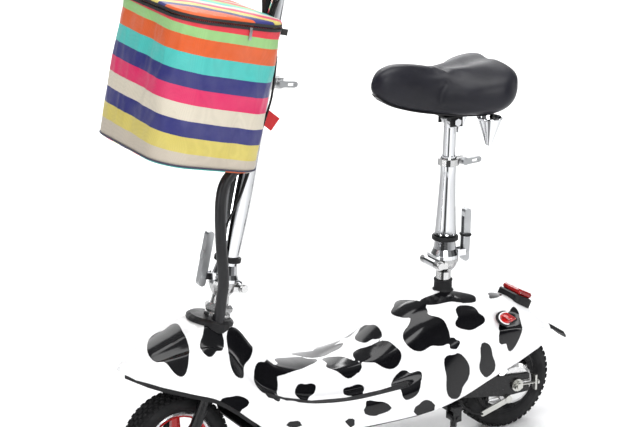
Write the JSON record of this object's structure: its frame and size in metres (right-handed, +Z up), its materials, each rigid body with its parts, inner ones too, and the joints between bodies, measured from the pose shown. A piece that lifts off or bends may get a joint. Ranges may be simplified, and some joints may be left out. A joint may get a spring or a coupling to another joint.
{
  "type": "electric motor scooter",
  "caption": "Seated electric scooter with a moulded cow-spotted deck shell, folding stem and seat post, sprung saddle and a striped fabric front basket.",
  "frame": {"origin": "on the ground under the middle of the scooter's length and width", "axes": "+Z up, -X towards the front wheel, -Y towards the kickstand side (the rider's left)"},
  "size_m": [0.951, 0.54, 1.0612],
  "materials": {
    "chrome": "polished chrome plate",
    "casting": "cast and tumbled",
    "black_metal": "satin black paint",
    "zinc": "zinc-plated steel",
    "alloy": "grey alloy",
    "black_plastic": "satin black plastic",
    "white_plastic": "gloss white with black cow spots",
    "red_lens": "red lens",
    "clear_lens": "clear lens",
    "rubber": "matt rubber",
    "tyre": "pneumatic tyre",
    "red_metal": "red painted alloy",
    "leather": "smooth black",
    "fabric": "striped cloth"
  },
  "bodies": {
    "chassis": {"main_frame": "black_metal", "body_shell": "white_plastic", "belly_pan": "black_plastic", "foot_strip_left": "rubber", "foot_strip_right": "rubber", "fairing_cap": "black_plastic", "front_fender": "black_plastic", "seat_boot": "rubber", "tail_lamp_base": "black_plastic", "tail_lamp_lens": "red_lens", "side_marker_left": "red_lens", "side_marker_right": "red_lens", "mud_flap": "rubber", "battery_pack": "black_plastic", "controller": "alloy", "drive_motor": "zinc", "drive_chain": "zinc", "brake_housing": "alloy", "rear_axle": "zinc", "rear_brake_cable": "rubber", "seat_base": "casting"},
    "pinion": {"motor_pinion": "zinc"},
    "rear_wheel": {"rear_tyre": "tyre", "rear_rim": "black_metal", "rear_sprocket": "zinc"},
    "brake_arm": {"rear_brake_arm": "zinc"},
    "kickstand": {"kickstand_leg": "black_metal"},
    "steering": {"fork": "black_metal", "head_nut": "casting", "stem_base": "casting", "front_axle": "zinc", "cable_bundle": "rubber"},
    "front_wheel": {"front_tyre": "tyre", "front_rim": "red_metal"},
    "stem": {"stem_tube": "chrome", "stem_clamp": "chrome"},
    "stem_latch_body": {"stem_latch": "alloy"},
    "stem_clamp_lever_body": {"stem_clamp_lever": "chrome"},
    "bar": {"handlebar": "chrome", "grip_left": "rubber", "brake_perch_left": "black_plastic", "brake_perch_right": "black_plastic", "headlight_housing": "black_plastic", "headlight_lens": "clear_lens", "basket_bag": "fabric"},
    "throttle": {"throttle_grip": "rubber"},
    "lever_left": {"brake_lever_left": "black_metal"},
    "lever_right": {"brake_lever_right": "black_metal"},
    "horn": {"horn_button": "red_lens"},
    "lid": {"basket_lid": "fabric"},
    "seat_mast": {"seat_tube": "chrome", "seat_clamp": "chrome"},
    "seat_latch_body": {"seat_latch": "alloy"},
    "seat_clamp_lever_body": {"seat_clamp_lever": "chrome"},
    "seat": {"seat_post": "chrome", "saddle_pan": "black_plastic", "saddle_cushion": "leather", "saddle_spring_left": "chrome", "saddle_spring_right": "chrome"}
  },
  "joints": [
    {"name": "steering_turn", "type": "hinge", "parent": "chassis", "child": "steering", "pos_m": [-0.2815, 0, 0.332], "axis": [0.2113, 0, 0.9774], "range_deg": [-40, 40], "deforming": ["cable_bundle"]},
    {"name": "front_wheel_spin", "type": "hinge", "parent": "steering", "child": "front_wheel", "pos_m": [-0.3695, 0, 0.09952], "axis": [0, 1, 0], "continuous": true},
    {"name": "rear_wheel_spin", "type": "hinge", "parent": "chassis", "child": "rear_wheel", "pos_m": [0.3305, 0, 0.09952], "axis": [0, 1, 0], "continuous": true},
    {"name": "motor_pinion_spin", "type": "hinge", "parent": "chassis", "child": "pinion", "pos_m": [0.1365, 0.0405, 0.165], "axis": [0, 1, 0], "continuous": true},
    {"name": "kickstand_swing", "type": "hinge", "parent": "chassis", "child": "kickstand", "pos_m": [0.1625, -0.098, 0.082], "axis": [0, -1, 0], "range_deg": [0, 85]},
    {"name": "rear_brake_arm_turn", "type": "hinge", "parent": "chassis", "child": "brake_arm", "pos_m": [0.3105, -0.0582, 0.0745], "axis": [0, 1, 0], "range_deg": [0, 10.29]},
    {"name": "stem_fold", "type": "hinge", "parent": "steering", "child": "stem", "pos_m": [-0.24258, 0, 0.3819], "axis": [0, 1, 0], "range_deg": [0, 22], "deforming": ["cable_bundle"]},
    {"name": "stem_latch_swing", "type": "hinge", "parent": "stem", "child": "stem_latch_body", "pos_m": [-0.31118, 0, 0.41003], "axis": [0, -1, 0], "range_deg": [0, 95]},
    {"name": "stem_height", "type": "slide", "parent": "stem", "child": "bar", "axis": [0.2113, 0, 0.9774], "range_m": [-0.06, 0.08], "deforming": ["cable_bundle"]},
    {"name": "stem_clamp_lever_swing", "type": "hinge", "parent": "stem", "child": "stem_clamp_lever_body", "pos_m": [-0.15782, 0, 0.74315], "axis": [0, -1, 0], "range_deg": [0, 110]},
    {"name": "throttle_twist", "type": "hinge", "parent": "bar", "child": "throttle", "pos_m": [-0.14203, 0.27, 0.9771], "axis": [0, 1, 0], "range_deg": [0, 60], "stiffness_Nm_per_rad": 0.3},
    {"name": "brake_lever_left_pull", "type": "hinge", "parent": "bar", "child": "lever_left", "pos_m": [-0.17359, -0.138, 0.97778], "axis": [0.2113, 0, 0.9774], "range_deg": [0, 12], "stiffness_Nm_per_rad": 1.2},
    {"name": "brake_lever_right_pull", "type": "hinge", "parent": "bar", "child": "lever_right", "pos_m": [-0.17359, 0.138, 0.97778], "axis": [-0.2113, 0, -0.9774], "range_deg": [0, 12], "stiffness_Nm_per_rad": 1.2},
    {"name": "horn_press", "type": "slide", "parent": "bar", "child": "horn", "axis": [-0.2113, 0, -0.9774], "range_m": [0, 0.0025], "stiffness_N_per_m": 400},
    {"name": "basket_lid_open", "type": "hinge", "parent": "bar", "child": "lid", "pos_m": [-0.40685, 0, 0.91158], "axis": [0, -1, 0], "range_deg": [0, 95]},
    {"name": "seat_fold", "type": "hinge", "parent": "chassis", "child": "seat_mast", "pos_m": [0.17155, 0, 0.35581], "axis": [0, 1, 0], "range_deg": [-80, 0]},
    {"name": "seat_latch_swing", "type": "hinge", "parent": "seat_mast", "child": "seat_latch_body", "pos_m": [0.24393, 0, 0.36654], "axis": [0, 1, 0], "range_deg": [0, 95]},
    {"name": "seat_clamp_lever_swing", "type": "hinge", "parent": "seat_mast", "child": "seat_clamp_lever_body", "pos_m": [0.23159, 0, 0.54702], "axis": [0, -1, 0], "range_deg": [0, 110]},
    {"name": "seat_height", "type": "slide", "parent": "seat_mast", "child": "seat", "axis": [0.0314, 0, 0.9995], "range_m": [-0.055, 0.045]}
  ],
  "couplings": [
    {"joint": "motor_pinion_spin", "follows": "rear_wheel_spin", "ratio": 3.7143},
    {"joint": "rear_brake_arm_turn", "follows": "brake_lever_left_pull", "ratio": 0.8571}
  ]
}
